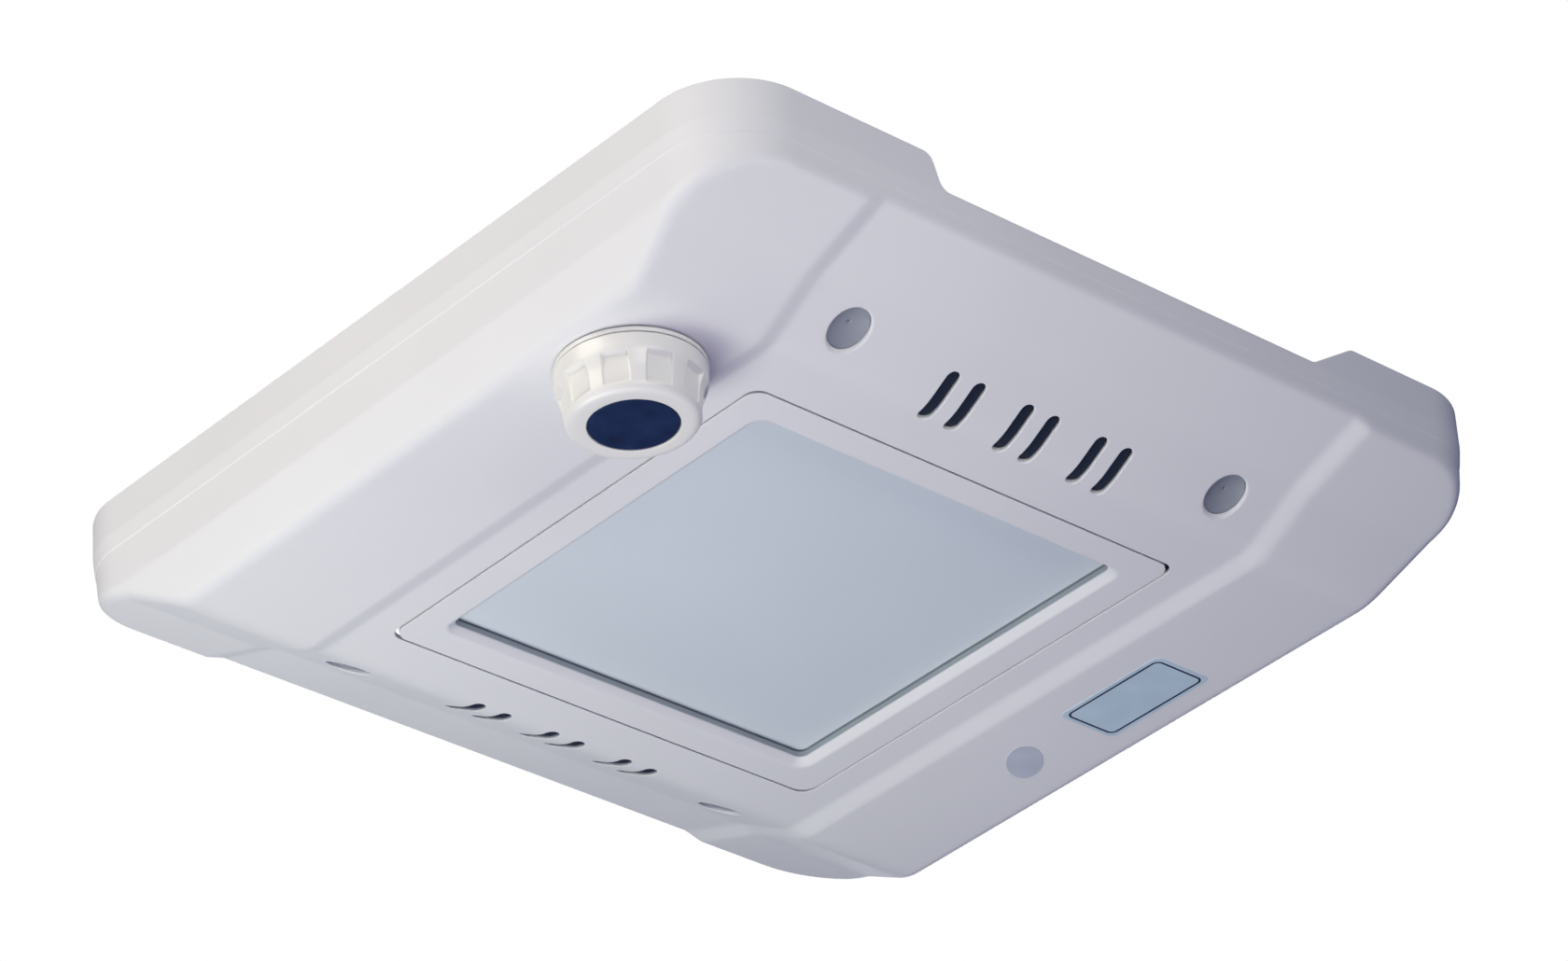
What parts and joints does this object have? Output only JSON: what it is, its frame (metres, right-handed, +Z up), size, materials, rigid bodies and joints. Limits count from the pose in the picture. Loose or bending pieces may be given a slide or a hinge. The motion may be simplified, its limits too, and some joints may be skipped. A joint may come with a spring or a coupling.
{
  "type": "led canopy light",
  "caption": "Square white ceiling canopy light with a frosted lens in a hinged door, vented sloped ends, recessed screws and a twist-lock sensor.",
  "frame": {"origin": "centre of the ceiling face, the top of the mounting plate, in the middle of the four bolt holes", "axes": "+Z up into the ceiling; X runs across the two side panels with the sensor on the -X panel; Y runs from vented end to vented end with the door hinged along its +Y side"},
  "size_m": [0.52, 0.52, 0.112],
  "materials": {
    "white_paint": "smooth satin powder coat, slightly pebbled",
    "white_plastic": "moulded, satin",
    "silver_label": "blank metallised film label",
    "pale_label": "blank pale film sticker",
    "dark_mesh": "fine black mesh",
    "zinc_steel": "bright zinc plate",
    "galvanised_steel": "galvanised",
    "black_rubber": "matte",
    "grey_rubber": "matte silicone",
    "frosted_glass": "frosted",
    "spring_steel": "plain spring steel",
    "cast_aluminium": "as cast, machined faces",
    "board_white": "white solder mask on aluminium board",
    "thermal_rubber": "soft filled silicone",
    "led_yellow": "phosphor coated",
    "reflector_white": "white, glossy",
    "black_plastic": "moulded",
    "magnet_nickel": "nickel plated",
    "dark_window": "dark tinted, satin",
    "board_green": "green solder mask",
    "sensor_metal": "drawn can",
    "contact_brass": "bright",
    "driver_aluminium": "satin",
    "terminal_plastic": "moulded, off-white",
    "wire_grey": "grey round sheath"
  },
  "bodies": {
    "housing": {"housing_shell": "white_paint", "screw_plugs": "white_plastic", "rating_label": "silver_label", "round_sticker": "pale_label", "vent_screens": "dark_mesh", "housing_screws": "zinc_steel", "plate_standoffs": "zinc_steel", "mounting_plate": "galvanised_steel", "entry_grommet": "black_rubber", "hinge_pins": "zinc_steel", "hinge_brackets": "zinc_steel", "hinge_bracket_screws": "zinc_steel", "heat_sink": "cast_aluminium", "heat_sink_screws": "zinc_steel", "door_seal": "grey_rubber", "led_board": "board_white", "thermal_pad": "thermal_rubber", "leds": "led_yellow", "reflector_frame": "reflector_white", "catch_holders": "black_plastic", "catch_screws": "zinc_steel", "catch_magnets": "magnet_nickel", "sensor_base": "white_plastic", "sensor_seal": "grey_rubber", "sensor_nut": "black_plastic", "driver_case": "driver_aluminium", "driver_screws": "zinc_steel", "terminal_block": "terminal_plastic", "terminal_clamps": "contact_brass", "terminal_screws": "zinc_steel", "surge_protector": "black_plastic", "surge_screws": "zinc_steel", "sensor_lead": "wire_grey", "supply_lead": "wire_grey", "led_lead": "wire_grey", "surge_lead": "wire_grey"},
    "lens_door": {"lens_door_frame": "white_paint", "frosted_lens": "frosted_glass", "lens_gasket": "grey_rubber", "lens_clips": "spring_steel", "hinge_arms": "zinc_steel", "hinge_arm_screws": "zinc_steel", "strike_plates": "zinc_steel"},
    "sensor_head": {"sensor_cap": "white_plastic", "sensor_window": "dark_window", "sensor_board": "board_green", "sensor_element": "sensor_metal", "sensor_back_plate": "black_plastic", "contact_blades": "contact_brass"}
  },
  "joints": [
    {"name": "lens_door_hinge", "type": "hinge", "parent": "housing", "child": "lens_door", "pos_m": [0, 0.17, -0.067], "axis": [1, 0, 0], "range_deg": [0, 90]},
    {"name": "sensor_twist", "type": "hinge", "parent": "housing", "child": "sensor_head", "pos_m": [-0.204, -0.1225, -0.1], "axis": [0, 0, 1], "range_deg": [0, 35]}
  ]
}
